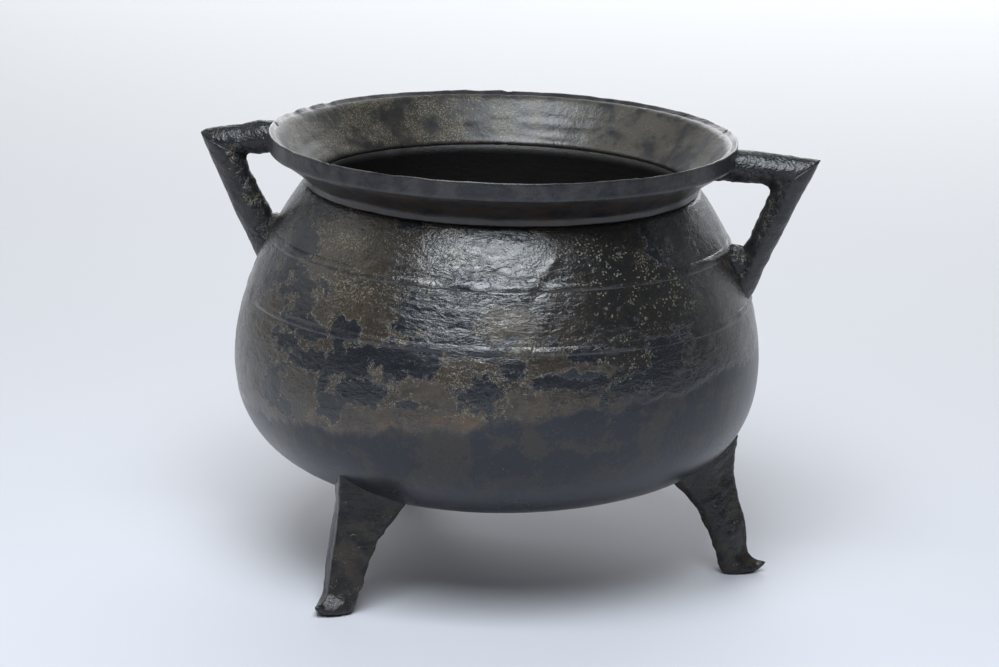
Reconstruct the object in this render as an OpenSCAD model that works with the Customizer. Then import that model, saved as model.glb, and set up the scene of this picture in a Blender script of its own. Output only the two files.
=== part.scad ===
// Three-legged cast bronze cooking cauldron.
// The origin is on the pot's axis at floor level. +Z is up and +X runs through the right handle.

/* [Belly] */
// Greatest outside radius of the belly
belly_r = 130; // [124:1:136]
// Height of the widest level of the belly above the floor
belly_z = 104; // [100:1:108]
// Height of the underside at its middle
base_z = 34; // [31:1:36]
// Radius of the sphere that the dished underside belongs to
dish_r = 260; // [240:5:300]
// Radius at which the dished underside turns up into the side
dish_edge = 60; // [50:1:66]
// Thickness of the cast wall
wall = 4; // [3:0.5:5]
// Fullness of the curve where the underside turns up
low_fullness = 0.49; // [0.4:0.01:0.55]
// Fullness of the curve below the widest level
side_fullness = 0.67; // [0.6:0.01:0.72]
// Fullness of the curve above the widest level
shoulder_fullness = 0.51; // [0.45:0.01:0.56]

/* [Neck and rim] */
// Outside radius of the neck
neck_r = 97; // [94:0.5:100]
// Height of the neck, where the flared rim starts
neck_z = 190; // [186:1:194]
// Radius of the sharp inner edge below the flared rim
throat_r = 92.5; // [90:0.5:94]
// Outside radius of the lip
lip_r = 114.5; // [110:0.5:118]
// Height of the lip above the floor
lip_z = 215; // [210:1:220]
// Height of the upright band outside the lip
band_h = 9.5; // [6:0.5:12]
// Distance by which the band stands out of the flare
band_t = 2; // [1:0.25:3]
// Thickness of the lip inside the band
lip_t = 1; // [0.5:0.1:1.5]
// Height of the throat's sharp edge above the neck
throat_rise = 2.5; // [2:0.25:4]
// Width of the flat bevel inside the lip, on the flare's inner face
inner_bevel = 3; // [2:0.5:5]

/* [Cordons] */
// Height of the upper cordon on the shoulder
upper_cordon_z = 165.5; // [160:0.5:172]
// Height of the lower cordon on the shoulder
lower_cordon_z = 138; // [130:0.5:146]
// Width of a cordon up the wall
cordon_w = 5; // [3:0.5:8]
// Distance by which a cordon stands out of the wall
cordon_t = 1.2; // [0.6:0.1:2]

/* [Handles] */
// Diameter of the handle bars
bar_d = 15; // [12:0.5:17]
// Distance of the right handle's corner from the axis
right_tip_r = 154.5; // [150:0.5:160]
// Height of the right handle's corner
right_tip_z = 210.5; // [205:0.5:213]
// Slope of the right handle's upper arm, up towards the rim, in degrees
right_rise = 5; // [0:0.5:12]
// Lean of the right handle's lower arm away from vertical, in degrees
right_lean = 24.5; // [22:0.5:28]
// Distance of the left handle's corner from the axis
left_tip_r = 151; // [146:0.5:156]
// Height of the left handle's corner
left_tip_z = 208; // [204:0.5:212]
// Slope of the left handle's upper arm, up towards the rim, in degrees
left_rise = 13; // [5:0.5:15]
// Lean of the left handle's lower arm away from vertical, in degrees
left_lean = 26.5; // [24:0.5:29]
// Diameter of the lug between the belly and the lower arm
lug_d = 12; // [9:0.5:14]
// Height of the right lug's axis
right_lug_z = 160; // [157:0.5:162]
// Height of the left lug's axis
left_lug_z = 163; // [161:0.5:165]

/* [Legs] */
// Distance of the toe from the axis
toe_r = 137; // [132:0.5:142]
// Length of the foot from heel to toe
foot_len = 21; // [18:0.5:24]
// Width of the leg at the foot
foot_w = 18; // [15:0.5:20]
// Width of the leg at the ankle
ankle_w = 23; // [19:0.5:26]
// Width of the leg where it joins the belly
root_w = 39; // [32:1:44]
// Height of the upturned toe's tip
toe_z = 4; // [2:0.5:5]

/* [Casting details] */
// Side of the square chaplets set in the wall
chaplet_w = 15; // [10:0.5:18]
// Distance by which the chaplets stand out of the wall
chaplet_t = 0.6; // [0.3:0.1:1]
// Lean of the chaplets away from vertical, along the shoulder, in degrees
chaplet_lean = 29; // [26:1:32]
// Diameter of the trimmed gate stub under the base
gate_d = 24; // [16:1:32]
// Distance by which the gate stub stands out of the base
gate_t = 2.5; // [1.5:0.5:4]

/* [Hidden] */
$fn = 240;
STEPS = 12;
BIG = 400;

// Angles of the three legs around the axis; the first is below the right handle
LEG_ANGLES = [0, 240, 120];
// Angles and heights of the chaplets on the shoulder
CHAPLETS = [[-52, 151], [68, 151], [188, 151]];

// Slope of the dished underside where it meets the side, and the height of that place
dish_slope = asin(dish_edge / dish_r);
dish_top = base_z + dish_r * (1 - cos(dish_slope));
// Lengths of the curve handles that shape the lower side and the shoulder
low_pull = low_fullness * (belly_r - dish_edge);
side_pull = side_fullness * (belly_z - base_z);
shoulder_pull = shoulder_fullness * (neck_z - belly_z);
// Slope of the shoulder where it meets the neck, from vertical
neck_slope = 38;
// Foot of the flare above the neck's fillet, and the lower edge of the flare's rounding under the band
flare_foot = [6, 8.5];
under_band = [3, 2.5];
neck_fillet = [0.5, 3.5];
// Small chamfers on the band's outer edges
band_chamfer = [0.4, 1];
// Distance from the axis beyond which the handles lie, and a length that takes their bars into the pot
handle_start = 70;
bar_len = 110;
lug_start = 90;
lug_len = 32;
// Levels of the foot, ankle and root on a leg, and its top inside the belly's outline
foot_z = 5;
ankle_z = [11, 26];
root_z = [46, 64];
leg_top = 62;
// Turn and tilt of the two planes that bevel a leg towards its outward ridge
bevel_turn = 52;
bevel_tilt = 16;
ridge_in = 5;
// Depth of the blocks from which the chaplets are cut
chaplet_block = 6;

// Point at parameter t on the cubic curve with the four control points p
function cubic(p, t) = pow(1 - t, 3) * p[0] + 3 * pow(1 - t, 2) * t * p[1]
    + 3 * (1 - t) * t * t * p[2] + pow(t, 3) * p[3];
function curve(p) = [for (i = [1:STEPS]) cubic(p, i / STEPS)];

// Outline of the pot from the middle of its base to the neck, moved inwards by inset
function pot_outline(inset) = concat(
    [for (i = [0:STEPS / 2]) let (a = dish_slope * i / (STEPS / 2))
        [(dish_r - inset) * sin(a), base_z + dish_r - (dish_r - inset) * cos(a)]],
    curve([[(dish_r - inset) * sin(dish_slope), base_z + dish_r - (dish_r - inset) * cos(dish_slope)],
           [dish_edge + low_pull * cos(dish_slope), dish_top + low_pull * sin(dish_slope) + inset],
           [belly_r - inset, belly_z - side_pull],
           [belly_r - inset, belly_z]]),
    curve([[belly_r - inset, belly_z],
           [belly_r - inset, belly_z + shoulder_pull],
           [neck_r - inset / cos(neck_slope), neck_z],
           [neck_r - inset / cos(neck_slope), neck_z]]));

// Outline of the rim's outside, from the neck to the lip
function rim_outline() = [
    [neck_r, neck_z],
    [neck_r, neck_z] + neck_fillet,
    [neck_r, neck_z] + flare_foot,
    [lip_r - band_t, lip_z - band_h] - under_band,
    [lip_r - band_t, lip_z - band_h],
    [lip_r - band_t, lip_z]];

module turn(points) {
    rotate_extrude() polygon(points);
}

// Everything inside the outer surface of the belly, and the cordons on it
module belly_envelope() {
    turn(concat(pot_outline(0), [[0, neck_z]]));
}

// Belly, cordons and rim filled up, with the space above the mouth
module whole_envelope() {
    belly_envelope();
    cordon_ring(upper_cordon_z);
    cordon_ring(lower_cordon_z);
    turn(concat([[0, neck_z - 1]], [[neck_r, neck_z - 1]], rim_outline(),
                [[lip_r, lip_z - band_h], [lip_r, BIG], [0, BIG]]));
}

// Outside radius of the belly at a height on the shoulder
function shoulder_r(z) = lookup(z, [for (q = pot_outline(0)) if (q[1] >= belly_z) [q[1], q[0]]]);

// A low rounded band around the shoulder, filled to the axis
module cordon_ring(z) {
    half = cordon_w / 2;
    turn([[0, z - half], [shoulder_r(z - half), z - half],
          [shoulder_r(z - half / 2) + cordon_t * 0.8, z - half / 2],
          [shoulder_r(z) + cordon_t, z],
          [shoulder_r(z + half / 2) + cordon_t * 0.8, z + half / 2],
          [shoulder_r(z + half), z + half], [0, z + half]]);
}

module cordon(z) {
    difference() {
        cordon_ring(z);
        belly_envelope();
    }
}

module belly() {
    color("#2f2d2c") difference() {
        belly_envelope();
        turn(concat(pot_outline(wall), [[neck_r - wall / cos(neck_slope), neck_z + 1], [0, neck_z + 1]]));
    }
}

module rim_flare() {
    color("#3b3936") turn(concat(rim_outline(),
        [[lip_r - band_t - lip_t, lip_z],
         [lip_r - band_t - inner_bevel, lip_z - inner_bevel],
         [throat_r, neck_z + throat_rise], [neck_r - wall / cos(neck_slope), neck_z]]));
}

module lip_band() {
    color("#434650") turn([[lip_r - band_t, lip_z - band_h],
        [lip_r - band_chamfer[0], lip_z - band_h], [lip_r, lip_z - band_h + band_chamfer[1]],
        [lip_r, lip_z - band_chamfer[1]], [lip_r - band_chamfer[0], lip_z], [lip_r - band_t, lip_z]]);
}

module upper_cordon() {
    color("#332f2d") cordon(upper_cordon_z);
}

module lower_cordon() {
    color("#332f2d") cordon(lower_cordon_z);
}

// A straight bar that runs from the corner at an angle above +X; side puts the corner on its edge
module bar(tip, angle, side) {
    translate([tip[0], 0, tip[1]]) rotate([0, -angle, 0])
        translate([-bar_d, 0, side * bar_d / 2]) rotate([0, 90, 0]) cylinder(h = bar_len, d = bar_d);
}

// The space below the plane on which the two arms of a handle are mitred
module below_mitre(tip, rise, lean) {
    middle = (180 - rise + 270 - lean) / 2;
    translate([tip[0], 0, tip[1]]) rotate([0, -middle, 0])
        translate([-BIG / 2, -BIG / 2, 0]) cube(BIG);
}

module handle_arm(tip, rise, lean) {
    difference() {
        intersection() {
            bar(tip, 180 - rise, 1);
            translate([handle_start, -BIG / 2, 0]) cube(BIG);
        }
        below_mitre(tip, rise, lean);
        whole_envelope();
    }
}

module handle_brace(tip, rise, lean) {
    difference() {
        intersection() {
            bar(tip, 270 - lean, -1);
            below_mitre(tip, rise, lean);
            translate([handle_start, -BIG / 2, lower_cordon_z]) cube(BIG);
        }
        whole_envelope();
    }
}

module handle_lug(tip, lean, z) {
    color("#2b2a2a") difference() {
        translate([lug_start, 0, z]) rotate([0, 90, 0]) cylinder(h = lug_len, d = lug_d);
        bar(tip, 270 - lean, -1);
        whole_envelope();
    }
}

module right_handle_arm() {
    color("#3a3a3f") handle_arm([right_tip_r, right_tip_z], right_rise, right_lean);
}

module right_handle_brace() {
    color("#3a3a3f") handle_brace([right_tip_r, right_tip_z], right_rise, right_lean);
}

module right_handle_lug() {
    handle_lug([right_tip_r, right_tip_z], right_lean, right_lug_z);
}

module left_handle_arm() {
    color("#3a3a3f") rotate([0, 0, 180]) handle_arm([left_tip_r, left_tip_z], left_rise, left_lean);
}

module left_handle_brace() {
    color("#3a3a3f") rotate([0, 0, 180]) handle_brace([left_tip_r, left_tip_z], left_rise, left_lean);
}

module left_handle_lug() {
    rotate([0, 0, 180]) handle_lug([left_tip_r, left_tip_z], left_lean, left_lug_z);
}

// Side view of a leg, outwards along +X, from the toe round the sole and up the inner edge
function leg_side() = [
    [toe_r, toe_z], [toe_r - 1, toe_z - 1.5], [toe_r - 5, 0], [toe_r - foot_len, 0],
    [toe_r - foot_len - 3, foot_z], [toe_r - foot_len - 5, ankle_z[0]],
    [toe_r - foot_len - 10, ankle_z[1]], [toe_r - foot_len - 19, 38], [toe_r - foot_len - 28, 43],
    [toe_r - foot_len - 32, leg_top], [toe_r - 16.5, leg_top], [toe_r - 16, root_z[0]],
    [toe_r - 13, 32], [toe_r - 9, ankle_z[1] - 8], [toe_r - 8.5, ankle_z[0] + 2], [toe_r - 4, toe_z + 4]];

// Front view of a leg: its width against its height
function leg_front() = let (f = foot_w / 2, a = ankle_w / 2, r = root_w / 2) [
    [-f, 0], [f, 0], [f, foot_z], [a, ankle_z[0]], [a, ankle_z[1]], [r, root_z[0]], [r, root_z[1]],
    [-r, root_z[1]], [-r, root_z[0]], [-a, ankle_z[1]], [-a, ankle_z[0]], [-f, foot_z]];

// Half space that bevels one side of the leg towards its outward ridge
module bevel(side) {
    translate([toe_r - ridge_in, 0, 0]) rotate([0, -bevel_tilt, side * bevel_turn])
        translate([0, -BIG / 2, -BIG / 2]) cube(BIG);
}

module leg(angle) {
    color("#2b2a2a") rotate([0, 0, angle]) difference() {
        intersection() {
            rotate([90, 0, 0]) linear_extrude(height = BIG, center = true) polygon(leg_side());
            rotate([90, 0, 90]) linear_extrude(height = BIG) polygon(leg_front());
        }
        bevel(1);
        bevel(-1);
        belly_envelope();
    }
}

module right_leg() {
    leg(LEG_ANGLES[0]);
}

module front_leg() {
    leg(LEG_ANGLES[1]);
}

module rear_leg() {
    leg(LEG_ANGLES[2]);
}

module chaplets() {
    color("#4a4238") for (c = CHAPLETS)
        rotate([0, 0, c[0]]) difference() {
            translate([shoulder_r(c[1]) + chaplet_t - chaplet_block, 0, c[1]])
                rotate([0, -chaplet_lean, 0]) translate([0, -chaplet_w / 2, -chaplet_w / 2])
                    cube([chaplet_block, chaplet_w, chaplet_w]);
            belly_envelope();
        }
}

module gate_stub() {
    color("#2b2a2a") difference() {
        translate([0, 0, base_z - gate_t]) cylinder(h = gate_t + 2, d = gate_d);
        belly_envelope();
    }
}

belly();
rim_flare();
lip_band();
upper_cordon();
lower_cordon();
right_handle_arm();
right_handle_brace();
right_handle_lug();
left_handle_arm();
left_handle_brace();
left_handle_lug();
right_leg();
front_leg();
rear_leg();
chaplets();
gate_stub();
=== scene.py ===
"""Cast bronze cauldron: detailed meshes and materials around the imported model.

Lengths are in metres and angles in radians unless a name ends in _deg. Every piece is a closed mesh
whose relief is real geometry down to about 2 mm; the materials add the finer grain.
"""

from math import asin, cos, pi, radians, sin

import bpy
import numpy as np
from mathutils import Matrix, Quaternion, Vector

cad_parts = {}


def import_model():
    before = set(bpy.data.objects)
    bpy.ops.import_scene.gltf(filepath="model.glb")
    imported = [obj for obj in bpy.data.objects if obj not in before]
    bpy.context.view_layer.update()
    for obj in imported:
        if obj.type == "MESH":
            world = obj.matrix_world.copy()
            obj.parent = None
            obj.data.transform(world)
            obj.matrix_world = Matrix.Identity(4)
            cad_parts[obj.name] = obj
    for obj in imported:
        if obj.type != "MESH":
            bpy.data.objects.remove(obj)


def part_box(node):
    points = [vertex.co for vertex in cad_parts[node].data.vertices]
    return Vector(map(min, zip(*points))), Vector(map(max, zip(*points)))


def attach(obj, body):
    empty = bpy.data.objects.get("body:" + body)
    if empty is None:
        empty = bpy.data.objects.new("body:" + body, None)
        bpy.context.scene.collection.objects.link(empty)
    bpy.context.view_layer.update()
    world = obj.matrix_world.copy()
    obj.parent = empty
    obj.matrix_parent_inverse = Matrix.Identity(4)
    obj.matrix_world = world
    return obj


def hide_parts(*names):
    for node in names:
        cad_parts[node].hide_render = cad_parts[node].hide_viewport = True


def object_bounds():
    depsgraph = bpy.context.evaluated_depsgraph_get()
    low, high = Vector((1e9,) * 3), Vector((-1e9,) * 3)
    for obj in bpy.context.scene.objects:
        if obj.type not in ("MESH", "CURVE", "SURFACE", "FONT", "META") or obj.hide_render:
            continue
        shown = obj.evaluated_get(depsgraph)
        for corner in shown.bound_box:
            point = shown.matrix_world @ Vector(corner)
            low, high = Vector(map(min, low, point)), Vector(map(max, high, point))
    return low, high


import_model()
cad_lo, cad_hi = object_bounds()

MM = 0.001
ROOT = "root"

# Driving sizes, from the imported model
BELLY_LO, BELLY_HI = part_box("belly")
LIP_LO, LIP_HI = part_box("lip_band")
BELLY_R = BELLY_HI.x
BASE_Z = BELLY_LO.z
NECK_Z = BELLY_HI.z
LIP_R = LIP_HI.x
LIP_Z = LIP_HI.z
BAND_Z = LIP_LO.z
BAND_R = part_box("rim_flare")[1].x
UPPER_CORDON_Z = (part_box("upper_cordon")[0].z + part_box("upper_cordon")[1].z) / 2
LOWER_CORDON_Z = (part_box("lower_cordon")[0].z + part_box("lower_cordon")[1].z) / 2

# Shape of the pot's outline, as in the design
BELLY_Z = 104 * MM
DISH_R = 260 * MM
DISH_EDGE = 60 * MM
NECK_R = 97 * MM
THROAT_R = 92.5 * MM
WALL = 4 * MM
NECK_SLOPE = radians(38)

# Columns of faces round the pot, and the radius of the small cap that closes the bowl on its axis
ROUND = 512
CAP_R = 0.4 * MM


# ---- Noise -------------------------------------------------------------------------------------

def lattice(i, j, k, seed):
    """A repeatable number from -1 to 1 for each lattice point."""
    h = (i * 374761393 + j * 668265263 + k * 1103515245 + seed * 974634777) & 0xFFFFFFFF
    h = ((h ^ (h >> 13)) * 1274126177) & 0xFFFFFFFF
    return ((h ^ (h >> 16)) & 0xFFFF) / 32767.5 - 1


def noise(points, size, seed):
    """Smooth noise from -1 to 1 at each point, in cells of that size (one number, or one per axis)."""
    q = points / size
    cell = np.floor(q).astype(np.int64)
    f = q - cell
    f = f * f * (3 - 2 * f)
    total = 0
    for dx in (0, 1):
        for dy in (0, 1):
            for dz in (0, 1):
                weight = (np.abs(1 - dx - f[..., 0]) * np.abs(1 - dy - f[..., 1])
                          * np.abs(1 - dz - f[..., 2]))
                total = total + weight * lattice(cell[..., 0] + dx, cell[..., 1] + dy,
                                                 cell[..., 2] + dz, seed)
    return total


def fractal(points, size, seed, octaves=3, keep=0.5):
    """Sum of noise at halving cell sizes."""
    size = np.asarray(size, float)
    return sum(keep ** n * noise(points, size / 2 ** n, seed + n) for n in range(octaves))


def smoothstep(low, high, x):
    t = np.clip((x - low) / (high - low), 0, 1)
    return t * t * (3 - 2 * t)


# ---- Meshes ------------------------------------------------------------------------------------

def new_piece(name, points, faces, material, node, attributes):
    """A smooth-shaded mesh piece on the root body that stands for that CAD node.

    Its points are kept inside the CAD model's box; attributes are numbers per point for the material.
    """
    points = np.clip(points.reshape(-1, 3), np.array(cad_lo), np.array(cad_hi))
    mesh = bpy.data.meshes.new(name)
    mesh.from_pydata(points.tolist(), [], faces)
    mesh.update()
    mesh.polygons.foreach_set("use_smooth", np.ones(len(mesh.polygons), bool))
    for key, values in attributes.items():
        layer = mesh.attributes.new(key, "FLOAT", "POINT")
        layer.data.foreach_set("value", np.asarray(values, np.float32).ravel())
    mesh.materials.append(material)
    piece = bpy.data.objects.new(name, mesh)
    bpy.context.scene.collection.objects.link(piece)
    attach(piece, ROOT)
    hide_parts(node)


def loft_faces(rows, columns, ring=False):
    """Faces of a lattice of points that wraps along its columns: a ring, or a bar with two end caps."""
    faces = []
    for i in range(rows if ring else rows - 1):
        a, b = i * columns, (i + 1) % rows * columns
        faces += [(a + j, a + (j + 1) % columns, b + (j + 1) % columns, b + j) for j in range(columns)]
    if not ring:
        faces.append(tuple(range(columns - 1, -1, -1)))
        faces.append(tuple(range((rows - 1) * columns, rows * columns)))
    return faces


def resample(points, step):
    """The same path with points about step apart; each corner of the path is kept."""
    out = [points[0]]
    for a, b in zip(points[:-1], points[1:]):
        n = max(1, int(round(np.linalg.norm(b - a) / step)))
        out += [a + (b - a) * k / n for k in range(1, n + 1)]
    return np.array(out)


def even(path, step):
    """Points evenly spaced along a smooth path, its two ends kept."""
    way = np.concatenate([[0], np.cumsum(np.linalg.norm(np.diff(path, axis=0), axis=1))])
    at = np.linspace(0, way[-1], max(2, int(round(way[-1] / step)) + 1))
    return np.stack([np.interp(at, way, path[:, 0]), np.interp(at, way, path[:, 1])], 1)


def cubic(p, n):
    """n points along the cubic curve with four control points, without its first point."""
    p = np.array(p, float)
    t = np.linspace(0, 1, n + 1)[1:, None]
    return (1 - t) ** 3 * p[0] + 3 * (1 - t) ** 2 * t * p[1] + 3 * (1 - t) * t * t * p[2] + t ** 3 * p[3]


def pot_outline(inset):
    """Outline (radius, height) from the middle of the base to the neck, moved inwards by inset."""
    slope = asin(DISH_EDGE / DISH_R)
    dish_top = BASE_Z + DISH_R * (1 - cos(slope))
    low_pull = 0.49 * (BELLY_R - DISH_EDGE)
    side_pull = 0.67 * (BELLY_Z - BASE_Z)
    shoulder_pull = 0.51 * (NECK_Z - BELLY_Z)
    angles = np.linspace(0, slope, 30)
    dish = np.stack([(DISH_R - inset) * np.sin(angles),
                     BASE_Z + DISH_R - (DISH_R - inset) * np.cos(angles)], 1)
    side = cubic([dish[-1],
                  (DISH_EDGE + low_pull * cos(slope), dish_top + low_pull * sin(slope) + inset),
                  (BELLY_R - inset, BELLY_Z - side_pull), (BELLY_R - inset, BELLY_Z)], 60)
    neck = (NECK_R - inset / cos(NECK_SLOPE), NECK_Z)
    shoulder = cubic([(BELLY_R - inset, BELLY_Z), (BELLY_R - inset, BELLY_Z + shoulder_pull), neck, neck], 60)
    return np.concatenate([dish, side, shoulder])


OUTLINE = pot_outline(0)


def wall_r(z):
    """Outside radius of the pot at a height above the belly's widest level."""
    upper = OUTLINE[OUTLINE[:, 1] >= BELLY_Z - 1e-6]
    return np.interp(z, upper[:, 1], upper[:, 0])


def outward(path):
    """Unit normals of a path of (radius, height) points, to its right."""
    d = np.gradient(path, axis=0)
    n = np.stack([d[:, 1], -d[:, 0]], 1)
    return n / np.maximum(np.linalg.norm(n, axis=1, keepdims=True), 1e-9)


def turned(path):
    """Points of the path turned about the pot's axis, as rows of ROUND points, and their normals."""
    a = np.linspace(0, 2 * pi, ROUND, endpoint=False)
    ring = np.stack([np.cos(a), np.sin(a), np.zeros(ROUND)], 1)
    n = outward(path)
    up = np.array([0, 0, 1.0])
    points = path[:, None, :1] * ring[None] + path[:, None, 1:] * up
    normals = n[:, None, :1] * ring[None] + n[:, None, 1:] * up
    return points, normals


# ---- Patina fields -----------------------------------------------------------------------------

# Each spot is (angle to the right of the front in degrees, height in mm, half width in degrees, half
# height in mm). Black: islands of intact black skin. Tan: bare patches. Gold: bright grains. Pit: small
# bright pits. Folded: deeper creases. Shiny: black skin with little brown in it.
BLACK_SPOTS = [(-52, 172, 8, 9), (-38, 137, 9, 4.5), (-28, 140, 5, 6), (-24, 127, 7, 8), (-35, 123, 7, 4.5),
               (-21, 114, 6, 7), (-44, 129, 4, 2.5), (-12, 147, 5, 5), (3, 139, 10, 6), (-8, 131, 5.5, 6),
               (5.6, 118, 4.5, 9), (-10.5, 111, 4.5, 2), (11, 131, 2.5, 7), (24, 124, 9, 4), (36, 121, 4, 6),
               (47, 117, 10, 10), (28, 136, 6, 3)]
TAN_SPOTS = [(12, 112, 8, 8), (23.5, 112, 6, 4.5), (37, 110, 3.5, 7), (-7, 118, 8, 5), (-4, 111, 6, 5),
             (10, 147, 5, 9), (27, 128, 6, 3), (-28, 107, 8, 3.5), (-18, 104, 6, 3), (-17, 122, 4, 3)]
GOLD_SPOTS = [(-0.8, 125.5, 5, 10), (9, 130, 1.2, 12), (-9, 160, 12, 7), (-3, 178, 10, 8), (-28, 158, 22, 16),
              (-35, 178, 20, 10), (9, 150, 7, 9)]
PIT_SPOTS = [(42, 160, 17, 19), (36, 135, 9, 9), (40, 124, 9, 6), (55, 158, 7, 12), (32, 178, 12, 8)]
FOLDED_SPOTS = [(2, 158, 26, 24), (0, 142, 18, 14), (34, 142, 12, 6)]
SHINY_SPOTS = [(5, 170, 26, 24)]


def spots(points, places):
    """1 in the middle of the nearest spot, 0 on its edge, down to -1 away from it."""
    angle = np.degrees(np.arctan2(points[..., 0], -points[..., 1]))
    height = points[..., 2] / MM
    field = np.full(angle.shape, -1.0)
    for a, z, da, dz in places:
        field = np.maximum(field, 1 - np.hypot((angle - a) / da, (height - z) / dz))
    return field


# A slanting fold in the skin of the shoulder: angle to the right of the front, distance from the
# axis, height, lean from upright and half length
FOLD_ANGLE = radians(18)
FOLD_R = 112 * MM
FOLD_Z = 170 * MM
FOLD_LEAN = radians(42)
FOLD_REACH = 11 * MM


def fold_gap(points):
    """Distance from the slanting fold."""
    angle = np.arctan2(points[..., 0], -points[..., 1])
    across, up = (angle - FOLD_ANGLE) * FOLD_R, points[..., 2] - FOLD_Z
    side = across * sin(FOLD_LEAN) - up * cos(FOLD_LEAN)
    past = np.maximum(np.hypot(across, up) - FOLD_REACH, 0)
    return np.hypot(side, past)


def patina(points):
    """Fields of the belly's surface, one number per point, for the shell material."""
    angle = np.degrees(np.arctan2(points[..., 0], -points[..., 1]))
    away = smoothstep(62, 80, np.abs(angle - 8))
    ragged = 0.3 * fractal(points, 8 * MM, 401, 2, 0.7)
    black = np.maximum(spots(points, BLACK_SPOTS), 1.6 * (fractal(points, 22 * MM, 411) - 0.62 + 0.3 * away))
    tan = np.maximum(spots(points, TAN_SPOTS), 1.6 * (fractal(points, 20 * MM, 421) - 1.1 + 0.55 * away))
    front_brown = 0.12 + 0.88 * smoothstep(34, 14, angle)
    highlight = spots(points, SHINY_SPOTS) + 1.4 * ragged
    front_brown = front_brown * (1 - 0.92 * smoothstep(-0.5, 0.6, highlight))
    back_brown = smoothstep(-0.5, 0.5, fractal(points, 70 * MM, 431, 2))
    gold = np.maximum(spots(points, GOLD_SPOTS), 1.4 * (fractal(points, 25 * MM, 441) - 0.6))
    pits = np.maximum(spots(points, PIT_SPOTS), 1.2 * (fractal(points, 45 * MM, 451, 2) - 0.8) * away)
    brown = front_brown * (1 - away) + back_brown * away
    folded = smoothstep(-0.2, 0.5, spots(points, FOLDED_SPOTS))
    return {"black": black + ragged, "tan": tan + ragged, "brown": brown, "gold": gold, "pits": pits,
            "folded": folded}


# ---- Relief ------------------------------------------------------------------------------------

# The line below which the belly is smooth: its height on the axis, and its rise to the right
TIDE_Z = 101 * MM
TIDE_SLOPE = 0.13


def wander(points):
    """Slow unevenness of the hand-made mould, shared by every piece so that they stay together."""
    return 0.5 * MM * (fractal(points, 70 * MM, 11, 2) - 0.9)


def tide_height(points):
    """Height of the tide line: a slightly tilted plane."""
    return TIDE_Z + TIDE_SLOPE * points[..., 0]


def belly_relief(points):
    """Outward relief of the belly's wall: cast skin above the tide line, rubbed smooth below it."""
    z = points[..., 2]
    upper = smoothstep(-6 * MM, 6 * MM, z - tide_height(points) - 4 * MM * noise(points, 18 * MM, 3))
    folded = smoothstep(0, 0.5, spots(points, FOLDED_SPOTS))
    skin = 0.14 * MM * fractal(points, [9 * MM, 9 * MM, 5 * MM], 21, 2, 0.6)
    strokes = (0.1 + 0.26 * folded) * MM * fractal(points, [13 * MM, 13 * MM, 4.5 * MM], 31, 2)
    ridge = 0.5 * MM * np.exp(-(fold_gap(points) / (1.6 * MM)) ** 2)
    smooth = 0.07 * MM * fractal(points, 14 * MM, 51, 2)
    return wander(points) + upper * (skin + strokes + ridge) + smooth


def soften(loop, times):
    """The closed path with its corners rounded by averaging neighbours."""
    for _ in range(times):
        loop = (np.roll(loop, 1, 0) + 2 * loop + np.roll(loop, -1, 0)) / 4
    return loop


# ---- Materials ---------------------------------------------------------------------------------

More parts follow.
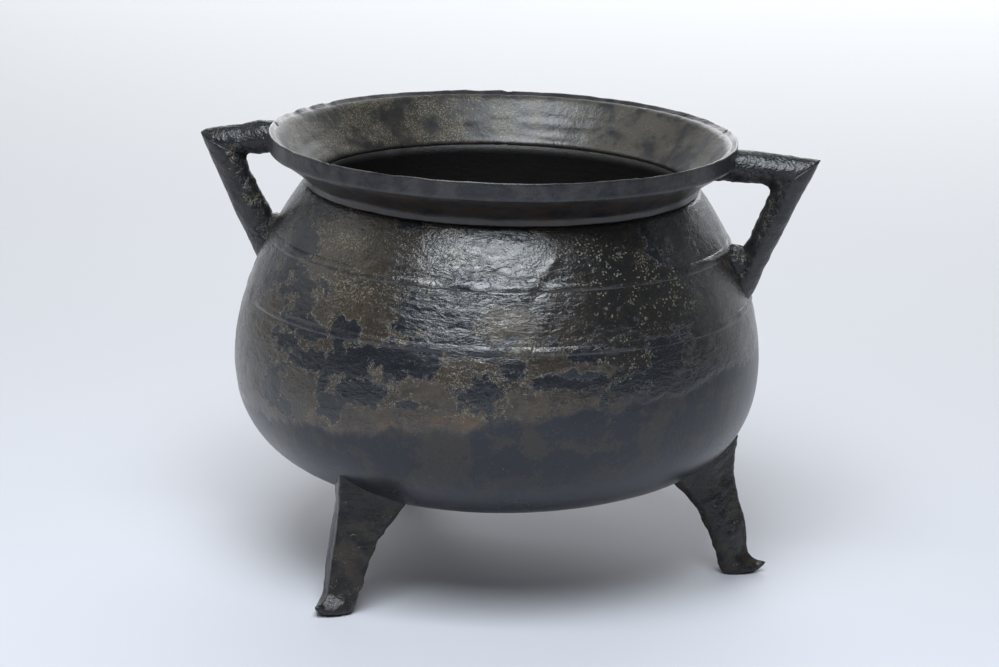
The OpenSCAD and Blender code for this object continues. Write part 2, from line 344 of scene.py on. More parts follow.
class Graph:
    """A material under construction; each method adds one node and returns its result socket."""

    def __init__(self, name):
        self.material = bpy.data.materials.new(name)
        self.material.use_nodes = True
        self.tree = self.material.node_tree
        self.shader = self.tree.nodes["Principled BSDF"]
        self.place = self.node("ShaderNodeTexCoord").outputs["Object"]
        self.x, self.y, self.z = self.node("ShaderNodeSeparateXYZ", {0: self.place}).outputs

    def node(self, kind, inputs=None, **settings):
        node = self.tree.nodes.new(kind)
        for key, value in settings.items():
            setattr(node, key, value)
        for key, value in (inputs or {}).items():
            self.put(node.inputs[key], value)
        return node

    def put(self, socket, value):
        if isinstance(value, bpy.types.NodeSocket):
            self.tree.links.new(value, socket)
        else:
            socket.default_value = value

    def math(self, operation, a, b=0.0, c=0.0):
        return self.node("ShaderNodeMath", {0: a, 1: b, 2: c}, operation=operation).outputs[0]

    def add(self, a, b):
        return self.math("ADD", a, b)

    def times(self, a, *others):
        for b in others:
            a = self.math("MULTIPLY", a, b)
        return a

    def step(self, value, low, high):
        """0 below low, 1 above high, smooth between; high may be the lower one."""
        node = self.node("ShaderNodeMapRange", {"Value": value, "From Min": low, "From Max": high},
                         interpolation_type="SMOOTHSTEP")
        return node.outputs[0]

    def stretch(self, sx, sy, sz):
        node = self.node("ShaderNodeMapping", {"Vector": self.place, "Scale": (sx, sy, sz)})
        return node.outputs[0]

    def noise(self, size, detail, keep=0.55, warp=0.0, place=None):
        """Noise from 0 to 1 with features of that size in metres."""
        node = self.node("ShaderNodeTexNoise", {"Vector": place or self.place, "Scale": 1 / size,
                                                "Detail": detail, "Roughness": keep, "Distortion": warp})
        return node.outputs["Fac"]

    def cells(self, size):
        """Distance from the middle of the nearest of scattered cells of that size in metres."""
        node = self.node("ShaderNodeTexVoronoi", {"Vector": self.place, "Scale": 1 / size})
        return node.outputs["Distance"]

    def mix(self, factor, a, b):
        """Blend of two colours."""
        node = self.node("ShaderNodeMix", {"Factor": factor}, data_type="RGBA")
        for socket, value in zip([s for s in node.inputs if s.type == "RGBA"], (a, b)):
            self.put(socket, (*value, 1) if isinstance(value, tuple) else value)
        return next(s for s in node.outputs if s.type == "RGBA")

    def blend(self, factor, a, b):
        """Blend of two numbers."""
        node = self.node("ShaderNodeMix", {"Factor": factor}, data_type="FLOAT")
        for socket, value in zip([s for s in node.inputs if s.type == "VALUE"][1:], (a, b)):
            self.put(socket, value)
        return next(s for s in node.outputs if s.type == "VALUE")

    def attribute(self, name):
        return self.node("ShaderNodeAttribute", attribute_name=name).outputs["Fac"]

    def near(self, value, target, width):
        """1 where the value is the target, fading to 0 at that distance from it."""
        return self.step(self.math("ABSOLUTE", self.math("SUBTRACT", value, target)), width, 0)

    def flecks(self, size, density):
        """Irregular bright grains of that size; none where the density is 0, many where it is 1."""
        return self.step(self.math("MULTIPLY_ADD", density, 0.22, self.noise(size, 2, 0.6)), 0.70, 0.77)

    def finish(self, colour, roughness, metal, height, specular=0.5):
        """Sets the shader; height is the fine relief in metres."""
        shader = self.shader
        bump = self.node("ShaderNodeBump", {"Height": height, "Distance": 1.0, "Strength": 1.0})
        self.put(shader.inputs["Base Color"], colour)
        self.put(shader.inputs["Roughness"], roughness)
        self.put(shader.inputs["Metallic"], metal)
        self.put(shader.inputs["Normal"], bump.outputs["Normal"])
        self.put(shader.inputs["Specular IOR Level"], specular)
        return self.material


BLACK = (0.006, 0.007, 0.009)
BLUE_BLACK = (0.008, 0.010, 0.015)
SOOT = (0.013, 0.012, 0.010)
SLATE = (0.008, 0.011, 0.018)
DARK_BROWN = (0.021, 0.017, 0.013)
BROWN = (0.045, 0.034, 0.023)
TAN = (0.054, 0.039, 0.025)
OCHRE = (0.066, 0.040, 0.019)
GOLD = (0.34, 0.30, 0.21)
RUBBED = (0.16, 0.14, 0.11)
STAIN = (0.030, 0.020, 0.013)
RIM_BLACK = (0.010, 0.011, 0.014)
RIM_GREY = (0.030, 0.029, 0.030)
WORN_DARK = (0.014, 0.014, 0.014)
WORN_PALE = (0.052, 0.045, 0.035)
LOW_BROWN = (0.027, 0.023, 0.020)
INSIDE = (0.022, 0.020, 0.018)
OLIVE_BLACK = (0.014, 0.013, 0.011)
HANDLE_WORN = (0.020, 0.018, 0.017)
LEG_BLACK = (0.006, 0.006, 0.008)
LEG_WORN = (0.028, 0.022, 0.017)


def shell_material(name):
    """Belly: black wax patina with brown and tan losses above the tide line, rubbed slate below it."""
    g = Graph(name)
    edge = g.blend(0.4, g.noise(9 * MM, 9, 0.74), g.noise(3.5 * MM, 5, 0.7))
    edge = g.math("SUBTRACT", edge, 0.5)
    above = g.math("SUBTRACT", g.z, g.math("MULTIPLY_ADD", g.x, TIDE_SLOPE, TIDE_Z))
    above = g.add(above, g.times(g.math("SUBTRACT", g.noise(22 * MM, 6, 0.6), 0.5), 22 * MM))
    upper = g.step(above, -2 * MM, 2 * MM)
    black_field = g.math("MULTIPLY_ADD", edge, 4.6, g.attribute("black"))
    black = g.times(g.step(black_field, -0.1, 0.1), upper)
    tan = g.times(g.step(g.math("MULTIPLY_ADD", edge, -4.2, g.attribute("tan")), -0.15, 0.2), upper)
    brown = g.attribute("brown")
    inside = g.attribute("inside")

    mottle = g.math("MULTIPLY_ADD", g.noise(1.3 * MM, 3, 0.7), 0.7, g.times(g.noise(8 * MM, 7, 0.68), 0.6))
    mottle = g.step(mottle, 0.5, 0.8)
    colour = g.mix(brown, g.mix(mottle, BLACK, SOOT), g.mix(mottle, DARK_BROWN, BROWN))
    rust = g.times(g.step(above, 12 * MM, 3 * MM), brown, g.step(g.noise(15 * MM, 5), 0.45, 0.6))
    colour = g.mix(rust, colour, OCHRE)
    bare = g.mix(g.step(g.noise(5 * MM, 7, 0.7), 0.35, 0.6), DARK_BROWN, TAN)
    colour = g.mix(g.times(tan, 0.85), colour, bare)
    colour = g.mix(black, colour, g.mix(g.noise(9 * MM, 4), BLACK, BLUE_BLACK))
    cloud = g.step(g.noise(20 * MM, 8, 0.68), 0.5, 0.55)
    low = g.mix(g.times(cloud, g.step(above, -50 * MM, -15 * MM), 0.9), SLATE, LOW_BROWN)
    colour = g.mix(upper, low, colour)

    border = g.times(g.near(black_field, -0.1, 0.4), brown, upper)
    density = g.math("MAXIMUM", g.step(g.attribute("gold"), -0.4, 1.4), g.times(border, 0.9))
    density = g.times(density, g.math("SUBTRACT", 1.0, black), upper)
    grains = g.times(g.flecks(0.9 * MM, density), g.noise(5 * MM, 3))
    field = g.step(g.attribute("pits"), -0.1, 0.35)
    cells = g.cells(3.6 * MM)
    chosen = g.step(g.noise(7 * MM, 3), 0.5, 0.56)
    rings = g.times(g.near(cells, 0.3, 0.13), chosen, field, g.step(g.noise(1.6 * MM, 2), 0.46, 0.56))
    dots = g.times(g.step(g.cells(1.9 * MM), 0.3, 0.2), g.step(g.noise(8 * MM, 3), 0.47, 0.56), field)
    pits = g.math("MAXIMUM", rings, dots)
    metal = g.math("MAXIMUM", g.times(grains, 0.8), g.times(pits, g.noise(6 * MM, 4), 0.75))
    colour = g.mix(metal, colour, GOLD)
    colour = g.mix(inside, colour, INSIDE)

    rough_upper = g.math("MULTIPLY_ADD", g.noise(5 * MM, 5), 0.26, 0.10)
    rough_upper = g.add(rough_upper, g.times(tan, 0.12))
    rough = g.blend(upper, g.math("MULTIPLY_ADD", g.noise(28 * MM, 5), 0.14, 0.22), rough_upper)
    rough = g.blend(inside, rough, 0.6)
    grain = g.times(g.noise(1.4 * MM, 3, 0.6), g.blend(upper, 0.03 * MM, 0.19 * MM))
    fold_depth = g.math("MULTIPLY_ADD", g.attribute("folded"), 0.5 * MM, 0.4 * MM)
    creases = g.noise(4.2 * MM, 4, 0.62, 0.6, g.stretch(0.65, 0.65, 1.7))
    middle = g.times(creases, g.blend(upper, 0.04 * MM, fold_depth))
    streaks = g.times(g.noise(1.3 * MM, 2, 0.6, 0, g.stretch(1, 1, 0.12)), 0.09 * MM)
    middle = g.add(middle, streaks)
    thick = g.math("SUBTRACT", g.times(black, 0.10 * MM), g.times(g.math("MAXIMUM", tan, pits), 0.10 * MM))
    height = g.add(g.add(grain, middle), thick)
    return g.finish(colour, rough, g.times(metal, 0.5), height, g.blend(upper, 0.55, 0.85))


def rim_material():
    """Rim: greyer, worn skin with a fine sparkle of metal; a pale line along the lip's edge."""
    g = Graph("rim_bronze")
    inner = g.attribute("inside")
    cloud = g.noise(15 * MM, 7, 0.64)
    left = g.step(g.x, 40 * MM, -60 * MM)
    outside = g.mix(g.step(g.noise(10 * MM, 7, 0.68), 0.4, 0.62), RIM_BLACK, RIM_GREY)
    under = g.step(g.z, BAND_Z + 1 * MM, BAND_Z - 3 * MM)
    stained = g.step(g.noise(12 * MM, 6, 0.6, 0, g.stretch(1, 1, 4)), 0.42, 0.6)
    outside = g.mix(g.times(under, stained), outside, STAIN)
    within = g.mix(g.step(cloud, 0.38, 0.56), WORN_DARK, WORN_PALE)
    within = g.mix(g.times(left, 0.5), within, OLIVE_BLACK)
    colour = g.mix(inner, outside, within)
    density = g.times(inner, g.math("MULTIPLY_ADD", left, 0.3, 0.5), g.step(cloud, 0.40, 0.56))
    grains = g.flecks(0.65 * MM, density)
    line = g.times(g.attribute("worn"), g.step(g.noise(14 * MM, 6), 0.36, 0.6))
    colour = g.mix(g.times(grains, 0.45), colour, GOLD)
    colour = g.mix(g.times(line, 0.7), colour, RUBBED)
    rough = g.math("MULTIPLY_ADD", cloud, 0.24, g.blend(inner, 0.20, g.blend(left, 0.25, 0.34)))
    grain = g.times(g.noise(1.4 * MM, 3, 0.6, 0, g.stretch(1, 1, 0.5)), g.blend(inner, 0.09 * MM, 0.14 * MM))
    middle = g.times(g.noise(4.5 * MM, 4, 0.6), g.blend(inner, 0.34 * MM, 0.24 * MM))
    return g.finish(colour, rough, g.times(grains, 0.4), g.add(grain, middle),
                    g.blend(inner, 0.6, g.blend(left, 1.0, 0.35)))


def bar_material(name, dark, worn, roughness, specular):
    """Handles and legs: black skin, coarser and browner where the attribute "rough" is high."""
    g = Graph(name)
    rough_side = g.attribute("rough")
    cloud = g.noise(11 * MM, 6, 0.62)
    colour = g.mix(g.step(cloud, 0.42, 0.62), dark, worn)
    density = g.times(g.step(g.noise(9 * MM, 4), 0.5, 0.66), g.math("MULTIPLY_ADD", rough_side, 0.5, 0.45))
    grains = g.flecks(0.8 * MM, density)
    colour = g.mix(g.times(grains, 0.5), colour, GOLD)
    rough = g.math("MULTIPLY_ADD", rough_side, 0.12, g.math("MULTIPLY_ADD", cloud, 0.3, roughness))
    grain = g.times(g.noise(1.4 * MM, 3), 0.3 * MM)
    middle = g.times(g.noise(4 * MM, 4, 0.6), g.math("MULTIPLY_ADD", rough_side, 0.5 * MM, 0.9 * MM))
    return g.finish(colour, rough, g.times(grains, 0.7), g.add(grain, middle), specular)


SHELL = shell_material("shell_bronze")
RIM = rim_material()
HANDLE = bar_material("handle_bronze", BLACK, HANDLE_WORN, 0.16, 0.6)
LEG = bar_material("leg_bronze", LEG_BLACK, LEG_WORN, 0.20, 0.5)
CHAPLET = shell_material("chaplet_bronze")


# ---- Pot ---------------------------------------------------------------------------------------

def belly():
    """The bowl: cast outer wall, and a plainer inner wall with a few casting lumps."""
    centre = np.array([[CAP_R, BASE_Z]])
    outer = even(np.concatenate([centre, OUTLINE[1:]]), 2 * MM)
    inner = even(pot_outline(WALL)[::-1], 6 * MM)
    inner[-1, 0] = CAP_R
    path = np.concatenate([outer, inner])
    is_inner = np.arange(len(path)) >= len(outer)

    def relief(points):
        lumps = 0.5 * MM * smoothstep(0.35, 0.8, noise(points, 11 * MM, 61))
        lumps = lumps + 0.1 * MM * fractal(points, 7 * MM, 62)
        return np.where(is_inner[:, None], lumps - wander(points), belly_relief(points))

    points, normals = turned(path)
    points = points + normals * relief(points)[..., None]
    new_piece("belly_casting", points, loft_faces(len(path), ROUND), SHELL, "belly",
              {"inside": np.repeat(is_inner, ROUND), **patina(points)})


# Dents in the lip: angle from the right side and half width in degrees, depth in mm
LIP_NICKS = [(150, 2.4, 0.5), (158, 1.8, 0.5), (166, 3.0, 0.6), (97, 1.2, 0.5), (233, 0.9, 0.5),
             (312, 1.1, 0.4), (20, 1.4, 0.6)]


def lip_wear(points):
    """How far the lip is dented or worn down, zero away from its upper edge."""
    angle = np.degrees(np.arctan2(points[..., 1], points[..., 0])) % 360
    dent = 0.25 * MM * (1 + fractal(points, 9 * MM, 71))
    for centre, width, depth in LIP_NICKS:
        gap = np.abs((angle - centre + 180) % 360 - 180)
        dent = dent + depth * MM * (1 - smoothstep(0.3 * width, width, gap))
    return dent * smoothstep(LIP_Z - 4 * MM, LIP_Z - 0.5 * MM, points[..., 2])


def rim_path(corners, step, rounding):
    """Closed section of a ring from its corner points (radius, height)."""
    loop = resample(np.array(corners + corners[:1]), step)[:-1]
    return soften(loop, rounding)


def rim():
    """The flare with its sharp throat, and the upright band outside the lip."""
    throat_z = NECK_Z + 2.5 * MM
    flare = rim_path([(NECK_R + 0.3 * MM, NECK_Z - 0.4 * MM), (NECK_R - 0.3 * MM, NECK_Z + 2 * MM),
                      (NECK_R + 0.8 * MM, NECK_Z + 4.5 * MM),
                      (NECK_R + 6 * MM, NECK_Z + 8.5 * MM), (BAND_R - 3 * MM, BAND_Z - 2.5 * MM),
                      (BAND_R, BAND_Z + 0.5 * MM), (BAND_R, LIP_Z - 1.2 * MM),
                      (THROAT_R + 17 * MM, LIP_Z - 2.9 * MM), (THROAT_R + 8 * MM, throat_z + 8.6 * MM),
                      (THROAT_R, throat_z), (NECK_R - WALL / cos(NECK_SLOPE), NECK_Z)], 1.3 * MM, 2)
    band = rim_path([(BAND_R - 2 * MM, BAND_Z + 1 * MM), (BAND_R, BAND_Z), (LIP_R - 0.4 * MM, BAND_Z),
                     (LIP_R, BAND_Z + 1 * MM), (LIP_R, LIP_Z - 0.5 * MM), (LIP_R - 0.3 * MM, LIP_Z),
                     (BAND_R - 2 * MM, LIP_Z - 2.7 * MM)], 0.6 * MM, 1)

    def relief(points):
        grain = 0.07 * MM * fractal(points, 6 * MM, 81, 3, 0.6)
        below_band = smoothstep(BAND_Z + 1 * MM, BAND_Z - 2 * MM, points[..., 2])
        strokes = 0.25 * MM * below_band * fractal(points, [16 * MM, 16 * MM, 3 * MM], 82, 2)
        return grain + strokes

    def shifted(path):
        points, normals = turned(path)
        points = points + normals * relief(points)[..., None]
        radial = points * [1, 1, 0]
        radial /= np.linalg.norm(radial, axis=-1, keepdims=True)
        points = points + radial * wander(points)[..., None]
        points[..., 2] -= lip_wear(points)
        return points

    for node, path in (("rim_flare", flare), ("lip_band", band)):
        facing_in = outward(np.concatenate([path, path[:1]]))[:-1]
        inside = smoothstep(0.1, 0.4, -facing_in[:, 0]) * (path[:, 1] > throat_z - 1 * MM)
        edge = np.hypot(path[:, 0] - (LIP_R - 0.4 * MM), path[:, 1] - LIP_Z)
        worn = 1 - smoothstep(0.2 * MM, 0.8 * MM, edge)
        if node == "lip_band":
            inside = 0 * inside
        new_piece(f"{node}_casting", shifted(path), loft_faces(len(path), ROUND, ring=True), RIM,
                  node,
                  {"inside": np.repeat(inside, ROUND), "worn": np.repeat(worn, ROUND)})


def cordon(node, z, width, height):
    """A low raised band round the shoulder, uneven in height, feathered into the wall."""
    k = np.linspace(-1, 1, 11)
    crest = height * np.clip(1 - np.abs(k) ** 1.5, 0, 1) - 0.25 * MM * np.abs(k) ** 4
    face = np.stack([wall_r(z + k * width / 2) + crest, z + k * width / 2], 1)
    back = np.stack([wall_r(z + k[::-2] * width / 2) - 1.2 * MM, z + k[::-2] * width / 2 * 0.9], 1)
    path = np.concatenate([face, back])
    proud = np.concatenate([np.clip(crest / height, 0, 1), np.zeros(len(back))])
    points, normals = turned(path)
    fade = smoothstep(-0.5, 0.4, noise(points, 38 * MM, 97))
    uneven = (0.4 * height * fractal(points, 14 * MM, 91, 2) - 0.85 * height * (1 - fade)) * proud[:, None]
    points = points + normals * uneven[..., None]
    radial = points * [1, 1, 0.5]
    radial /= np.linalg.norm(radial, axis=-1, keepdims=True)
    points = points + radial * belly_relief(points)[..., None]
    new_piece(f"{node}_casting", points, loft_faces(len(path), ROUND, ring=True), SHELL,
              node, patina(points))


belly()
rim()
cordon("upper_cordon", UPPER_CORDON_Z, 5.2 * MM, 0.85 * MM)
cordon("lower_cordon", LOWER_CORDON_Z, 5.0 * MM, 0.75 * MM)


# ---- Handles -----------------------------------------------------------------------------------

# How deep the handles, lugs and legs reach into the pot's wall
SUNK = 2 * MM


def keep_in_wall(points):
    """Points that lie deeper in the pot than SUNK are moved out to that depth."""
    shell = even(pot_outline(SUNK), 1 * MM)
    flat = points.reshape(-1, 3)
    r = np.hypot(flat[:, 0], flat[:, 1])
    gap = np.hypot(r[:, None] - shell[None, :, 0], flat[:, 2, None] - shell[None, :, 1])
    nearest = gap.argmin(axis=1)
    foot = shell[nearest]
    way = outward(shell)[nearest]
    deep = ((r - foot[:, 0]) * way[:, 0] + (flat[:, 2] - foot[:, 1]) * way[:, 1] < 0) & (flat[:, 2] < NECK_Z)
    new_r = np.where(deep, foot[:, 0], r)
    new_z = np.where(deep, foot[:, 1], flat[:, 2])
    return np.stack([flat[:, 0] * new_r / r, flat[:, 1] * new_r / r, new_z], 1).reshape(points.shape)


def bar_rows(outer, inner, rows):
    """Matched points along the outer and inner edges of a bar, evenly spaced along each."""
    edges = [resample(np.array(e, float) * MM, 0.5 * MM) for e in (outer, inner)]
    at = np.linspace(0, 1, rows)
    out = []
    for edge in edges:
        way = np.concatenate([[0], np.cumsum(np.linalg.norm(np.diff(edge, axis=0), axis=1))])
        out.append(np.stack([np.interp(at * way[-1], way, edge[:, k]) for k in (0, 1)], 1))
    return out


SIDES = 64
# Superellipse exponent of the bars' section: 1 is a diamond, 2 an ellipse
SECTION_EXPONENT = 1.65


def handle(side, arm_edges, brace_edges, widths, seed):
    """A cast loop of roughly diamond section: an upper arm and a lower brace, mitred at the corner.

    Each pair of edges is (outer, inner) as (radius, height) points in mm, the arm from the rim to the
    corner and the brace from the corner to the belly; widths are the half widths along the loop.
    """
    arm_rows, brace_rows = 44, 60
    arm = bar_rows(*arm_edges, arm_rows)
    brace = bar_rows(*brace_edges, brace_rows)
    outer = np.concatenate([arm[0], brace[0][1:]])
    inner = np.concatenate([arm[1], brace[1][1:]])
    rows = len(outer)
    along = np.linspace(0, 1, rows)
    half = np.interp(along, *zip(*widths)) * MM
    turn = np.linspace(0, 2 * pi, SIDES, endpoint=False)
    power = 2 / SECTION_EXPONENT
    depth = np.sign(np.cos(turn)) * np.abs(np.cos(turn)) ** power
    width = np.sign(np.sin(turn)) * np.abs(np.sin(turn)) ** power
    middle = (outer + inner) / 2
    reach = (outer - inner) / 2
    sign = 1 if side == "right" else -1
    points = np.empty((rows, SIDES, 3))
    points[..., 0] = middle[:, :1] + reach[:, :1] * depth
    points[..., 1] = half[:, None] * width
    points[..., 2] = middle[:, 1:] + reach[:, 1:] * depth
    way = np.stack([reach[:, :1] * depth, half[:, None] * width, reach[:, 1:] * depth], -1)
    way /= np.linalg.norm(way, axis=-1, keepdims=True)
    rough = smoothstep(0.25, -0.35, depth)[None, :] * np.ones((rows, 1))
    hammer = 0.5 * MM * noise(points, 12 * MM, seed) + 0.28 * MM * fractal(points, 5 * MM, seed + 7, 2, 0.6)
    crust = 0.6 * MM * fractal(points, 4.5 * MM, seed + 1, 3, 0.6) * rough
    points = points + way * (hammer + crust)[..., None]
    points[..., 0] *= sign
    points = keep_in_wall(points)
    for part, lo, hi in (("arm", 0, arm_rows), ("brace", arm_rows - 1, rows)):
        new_piece(f"{side}_{part}_casting", points[lo:hi], loft_faces(hi - lo, SIDES), HANDLE,
                  f"{side}_handle_{part}", {"rough": rough[lo:hi]})


def lug(side, centre, radii, roughness, seed):
    """A small irregular ball of cast metal under a handle, half sunk in the wall."""
    rows, columns = 28, 48
    lat = np.linspace(-pi / 2, pi / 2, rows + 2)[1:-1]
    lon = np.linspace(0, 2 * pi, columns, endpoint=False)
    unit = np.stack([np.cos(lat)[:, None] * np.cos(lon), np.cos(lat)[:, None] * np.sin(lon),
                     np.sin(lat)[:, None] * np.ones(columns)], -1)
    points = np.array(centre) + unit * np.array(radii)
    points = points + unit * (roughness * fractal(points, 5 * MM, seed, 3, 0.6))[..., None]
    new_piece(f"{side}_lug_casting", keep_in_wall(points), loft_faces(rows, columns), HANDLE,
              f"{side}_handle_lug", {"rough": np.ones(rows * columns)})


handle("right",
       ([(111.5, 213.6), (122.5, 213.2), (153, 210.5), (154.4, 210.0)],
        [(101.5, 196.8), (111, 197), (127, 197), (129.6, 195.6), (130.3, 193.8)]),
       ([(154.4, 210.0), (144.4, 188), (131, 157), (122, 137), (118, 128)],
        [(130.3, 193.8), (130.7, 192), (124, 176), (119.5, 166.6), (111, 148), (106, 140)]),
       [(0, 9), (0.12, 7.6), (0.4, 7.4), (0.8, 7.2), (1, 9)], 101)
handle("left",
       ([(111.5, 214), (113.8, 214.6), (120.8, 214.4), (140.8, 210.6), (147.9, 208.9), (150.4, 207)],
        [(101.5, 196.8), (111, 198.9), (120, 198.4), (125.7, 197.8), (127.2, 196.9)]),
       ([(150.4, 207), (143.7, 191), (129, 161), (121.7, 146), (117, 136)],
        [(127.2, 196.9), (127.4, 195.5), (124.6, 187), (115.3, 170.7), (108, 157), (104, 149)]),
       [(0, 9), (0.12, 7.4), (0.4, 7.2), (0.8, 7), (1, 9)], 131)
lug("right", (0.1150, 0, 0.1575), (0.0100, 0.0085, 0.0086), 0.9 * MM, 151)
lug("left", (-0.1120, 0, 0.1600), (0.0085, 0.0080, 0.0085), 0.8 * MM, 161)


# ---- Legs --------------------------------------------------------------------------------------

# Edges of a leg seen from the side, as (height, radius) in mm, and its half width by height
LEG_OUTER = [(0, 132), (1.2, 137), (3, 138.6), (4.6, 136.4), (7.5, 131.4), (10, 129.2), (14, 128.6),
             (20, 127.8), (30, 125.6), (40, 122.6), (50, 121), (62, 120.6), (72, 121.5)]
LEG_INNER = [(0, 117), (2, 115.4), (5, 114.3), (12, 112.8), (20, 110), (25, 107.3), (33, 103.4), (38, 100),
             (41, 97.2), (44, 94), (50, 89), (72, 84)]
LEG_HALF_WIDTH = [(0, 7.8), (2, 9.2), (6, 10), (12, 10.6), (20, 12), (34, 13.8), (42, 16.2), (50, 19.5),
                  (58, 21.5), (72, 22.5)]


def leg(node, angle, slimmer, seed):
    """A solid cast leg with an outer ridge, a flat back and a foot whose toe turns up.

    The foot and shin of a slimmer leg reach that many mm less far out.
    """
    heights = np.concatenate([np.linspace(0, 12, 16), np.linspace(13, 70, 52)])
    rows = len(heights)
    corners = [(1, 0), (0.55, 0.72), (0.2, 1), (0, 0.84), (0, -0.84), (0.2, -1), (0.55, -0.72)]
    section = soften(resample(np.array(corners + corners[:1], float), 0.06)[:-1], 2)
    columns = len(section)
    outer = np.interp(heights, *zip(*LEG_OUTER)) - slimmer * (0.6 + 0.4 * smoothstep(62, 30, heights))
    inner = np.interp(heights, *zip(*LEG_INNER))
    half = np.interp(heights, *zip(*LEG_HALF_WIDTH))
    points = np.empty((rows, columns, 3))
    points[..., 0] = inner[:, None] + (outer - inner)[:, None] * section[:, 0]
    points[..., 1] = half[:, None] * section[:, 1]
    points[..., 2] = heights[:, None]
    points *= MM
    way = np.stack([section[:, 0] - 0.4, section[:, 1], 0 * section[:, 0]], -1)
    way = way / np.linalg.norm(way, axis=-1, keepdims=True)
    back = smoothstep(0.35, 0.05, section[:, 0])[None, :] * np.ones((rows, 1))
    dents = 0.7 * MM * noise(points, 14 * MM, seed)
    crust = 0.55 * MM * fractal(points, 5 * MM, seed + 1, 3, 0.6) * (0.5 + back)
    ring = np.exp(-((points[..., 2] - 13 * MM) / (2.2 * MM)) ** 2)
    ankle = 0.7 * MM * ring * noise(points, 7 * MM, seed + 5)
    free = smoothstep(0, 2.5 * MM, points[..., 2])
    points = points + way[None] * ((dents + crust + ankle) * free)[..., None]
    toe = smoothstep(LEG_OUTER[2][1] - slimmer - 7, LEG_OUTER[2][1] - slimmer, points[..., 0] / MM)
    points[..., 2] += 3 * MM * toe * smoothstep(14 * MM, 0, points[..., 2])
    points = keep_in_wall(points)
    turned_points = points.copy()
    turned_points[..., 0] = points[..., 0] * cos(angle) - points[..., 1] * sin(angle)
    turned_points[..., 1] = points[..., 0] * sin(angle) + points[..., 1] * cos(angle)
    new_piece(f"{node}_casting", turned_points, loft_faces(rows, columns), LEG, node,
              {"rough": back})


leg("right_leg", 0, 0, 201)
leg("front_leg", radians(240), 3, 211)
leg("rear_leg", radians(120), 1, 221)


# ---- Chaplets and gate stub --------------------------------------------------------------------

# Angle from the right side in degrees and height in mm
CHAPLETS = [(-52, 151), (68, 151), (188, 151)]


def chaplets():
    """Square plates that held the mould's core, flush with the shoulder but for their thickness."""
    half = 7.2 * MM
    n = 25
    u = np.linspace(-1, 1, n)
    a, b = np.meshgrid(u, u, indexing="ij")
    points, faces = [], []
    for azimuth, height in CHAPLETS:
        for lift in (1, 0):
            z = height * MM + a * half * 0.9
            edge = smoothstep(1.05, 0.7, (np.abs(a) ** 3 + np.abs(b) ** 3) ** (1 / 3))
            r = wall_r(z) + ((0.7 * edge - 0.5) * MM if lift else -1.5 * MM)
            angle = radians(azimuth) + b * half / wall_r(z)
            flat = np.stack([r * np.cos(angle), r * np.sin(angle), z], -1)
            radial = flat * [1, 1, 0.5]
            radial /= np.linalg.norm(radial, axis=-1, keepdims=True)
            relief = belly_relief(flat) if lift else wander(flat)
            points.append((flat + radial * relief[..., None]).reshape(-1, 3))
        first = (len(points) - 2) * n * n

        def grid(i, j, back):
            return first + back * n * n + i * n + j

        for i in range(n - 1):
            for j in range(n - 1):
                faces.append((grid(i, j, 0), grid(i, j + 1, 0), grid(i + 1, j + 1, 0), grid(i + 1, j, 0)))
                faces.append((grid(i, j, 1), grid(i + 1, j, 1), grid(i + 1, j + 1, 1), grid(i, j + 1, 1)))
        rim_loop = ([(0, j) for j in range(n - 1)] + [(i, n - 1) for i in range(n - 1)]
                    + [(n - 1, j) for j in range(n - 1, 0, -1)] + [(i, 0) for i in range(n - 1, 0, -1)])
        for p, q in zip(rim_loop, rim_loop[1:] + rim_loop[:1]):
            faces.append((grid(*q, 0), grid(*p, 0), grid(*p, 1), grid(*q, 1)))
    points = np.concatenate(points)
    plain = -np.ones(len(points))
    fields = patina(points)
    fields.update(pits=plain, gold=plain, black=fields["black"] + 0.7)
    new_piece("chaplet_plates", points, faces, CHAPLET, "chaplets", fields)


def gate_stub():
    """The trimmed stump of the pouring gate under the base."""
    radii = np.array([2, 4, 6, 8, 9.5, 10.8, 11.4, 11.6, 11.7, 11.7]) * MM
    drops = np.array([2.2, 2.2, 2.15, 2.1, 2.0, 1.7, 1.2, 0.6, 0, -2]) * MM
    rows, columns = len(radii), 72
    a = np.linspace(0, 2 * pi, columns, endpoint=False)
    points = np.stack([radii[:, None] * np.cos(a), radii[:, None] * np.sin(a),
                       (BASE_Z + 0.4 * MM - drops)[:, None] * np.ones(columns)], -1)
    scale = 1 + 0.06 * noise(points, 12 * MM, 301)
    points[..., :2] *= np.minimum(scale, 1.02)[..., None]
    points[..., 2] += 0.3 * MM * fractal(points, 4 * MM, 302, 3, 0.6) * (drops > 0)[:, None]
    new_piece("gate_stub_casting", points, loft_faces(rows, columns), LEG, "gate_stub",
              {"rough": np.ones(rows * columns)})


chaplets()
gate_stub()


# ---- Stage, camera and lights ------------------------------------------------------------------

# Paper tones: the near one is painted shade, darker than the far one.
PAPER_NEAR_PAINTED_SHADE = (0.53, 0.535, 0.575)
PAPER_FAR = (0.91, 0.915, 0.93)
PAPER_CLOUD = (0.66, 0.68, 0.72)
STUDIO_COLOUR = (0.90, 0.94, 1.0)
STUDIO_STRENGTH = 0.8

# The photograph's viewpoint: lens in mm, place and aim in metres
CAMERA_LENS = 124
CAMERA_PLACE = (0.2237, -1.6292, 0.545)
CAMERA_AIM = (0.0008, 0.0001, 0.114)
CAMERA_ROLL = radians(1.6)


def floor_material():
    """Pale paper, greyer towards the camera: painted shade where less light falls."""
    g = Graph("floor_paper_painted_shade")
    # Painted shade: the paper darkens towards the camera in place of the light's fall-off.
    far = g.step(g.y, -0.7, 1.7)
    tone = g.mix(far, PAPER_NEAR_PAINTED_SHADE, PAPER_FAR)
    tone = g.mix(g.times(g.noise(0.6, 3), 0.05), tone, PAPER_CLOUD)
    return g.finish(tone, 0.7, 0.0, g.times(g.noise(2 * MM, 2), 0.02 * MM), 0.2)


def floor():
    bpy.ops.mesh.primitive_plane_add(size=14)
    plane = bpy.context.object
    plane.name = "floor"
    plane.data.materials.append(floor_material())


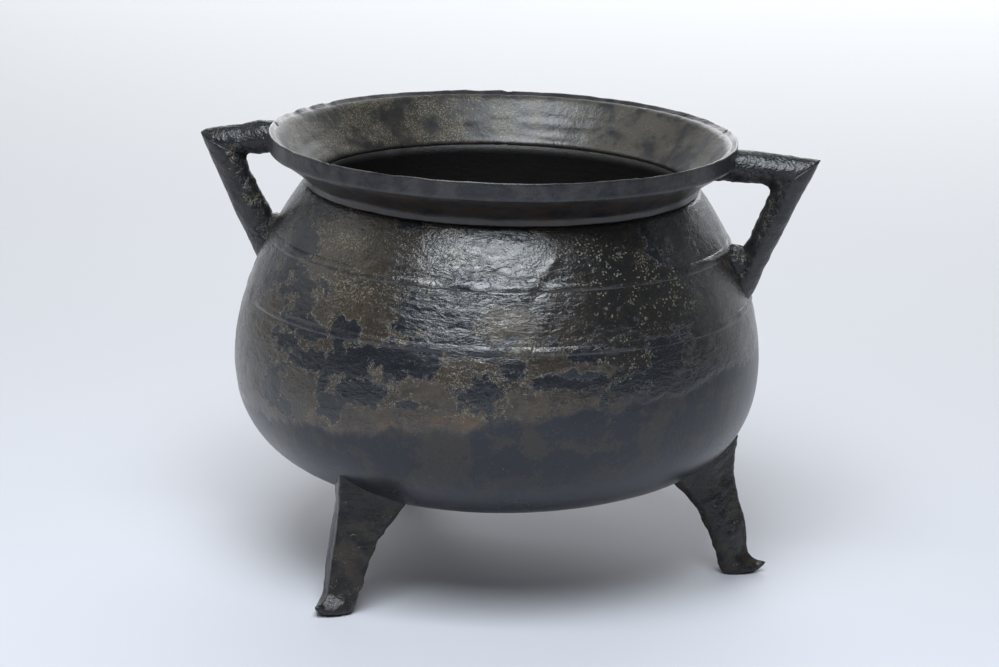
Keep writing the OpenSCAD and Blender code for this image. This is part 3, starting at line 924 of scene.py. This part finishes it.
def lamp(name, place, aim, size, power, colour):
    """A soft box: a rectangle of light of that size (width, height) and power in watts."""
    light = bpy.data.lights.new(name, "AREA")
    light.shape = "RECTANGLE"
    light.size, light.size_y = size
    light.energy = power
    light.color = colour
    lamp_object = bpy.data.objects.new(name, light)
    lamp_object.location = place
    lamp_object.rotation_euler = (Vector(aim) - Vector(place)).to_track_quat("-Z", "Y").to_euler()
    bpy.context.scene.collection.objects.link(lamp_object)


def world():
    """A dim studio in front, at the sides and above, with pale walls low behind the pot."""
    scene_world = bpy.data.worlds.new("studio")
    bpy.context.scene.world = scene_world
    scene_world.use_nodes = True
    tree = scene_world.node_tree
    place = tree.nodes.new("ShaderNodeTexCoord")
    split = tree.nodes.new("ShaderNodeSeparateXYZ")
    tree.links.new(place.outputs["Generated"], split.inputs[0])
    both = tree.nodes.new("ShaderNodeMath")
    both.operation = "MULTIPLY"
    for k, (axis, low, high, least) in enumerate([("Y", 0.25, 0.95, 0.20), ("Z", 0.65, 0.25, 0.25)]):
        ramp = tree.nodes.new("ShaderNodeMapRange")
        ramp.interpolation_type = "SMOOTHSTEP"
        ramp.inputs["From Min"].default_value = low
        ramp.inputs["From Max"].default_value = high
        ramp.inputs["To Min"].default_value = least
        tree.links.new(split.outputs[axis], ramp.inputs["Value"])
        tree.links.new(ramp.outputs[0], both.inputs[k])
    background = tree.nodes["Background"]
    background.inputs["Color"].default_value = (*STUDIO_COLOUR, 1)
    strength = tree.nodes.new("ShaderNodeMath")
    strength.operation = "MULTIPLY"
    strength.inputs[1].default_value = STUDIO_STRENGTH
    tree.links.new(both.outputs[0], strength.inputs[0])
    tree.links.new(strength.outputs[0], background.inputs["Strength"])


def camera():
    """About 8 degrees to the right of the front and 15 above level, as in the photograph."""
    data = bpy.data.cameras.new("camera")
    data.sensor_width = 36
    data.lens = CAMERA_LENS
    seen = bpy.data.objects.new("camera", data)
    seen.location = CAMERA_PLACE
    look = Vector(CAMERA_AIM) - seen.location
    seen.rotation_mode = "QUATERNION"
    seen.rotation_quaternion = look.to_track_quat("-Z", "Y") @ Quaternion((0, 0, 1), CAMERA_ROLL)
    bpy.context.scene.collection.objects.link(seen)
    bpy.context.scene.camera = seen


floor()
world()
lamp("front_softbox", (0, -0.82, 1.3), (0, -0.77, 0), (0.95, 1.05), 32, (0.88, 0.94, 1))
lamp("rear_softbox", (0, 1.2, 1.5), (0, 1.25, 0), (1.5, 1.2), 5, (1, 1, 1))
lamp("left_panel", (-1.3, 0, 0.9), (0, 0, 0.1), (1, 1), 2, (1, 1, 1))
lamp("backdrop_glow", (0, 3, 1.4), (0, 1.5, 0), (3, 1.5), 51, (0.97, 0.98, 1))
camera()
bpy.context.scene.view_settings.view_transform = "Standard"
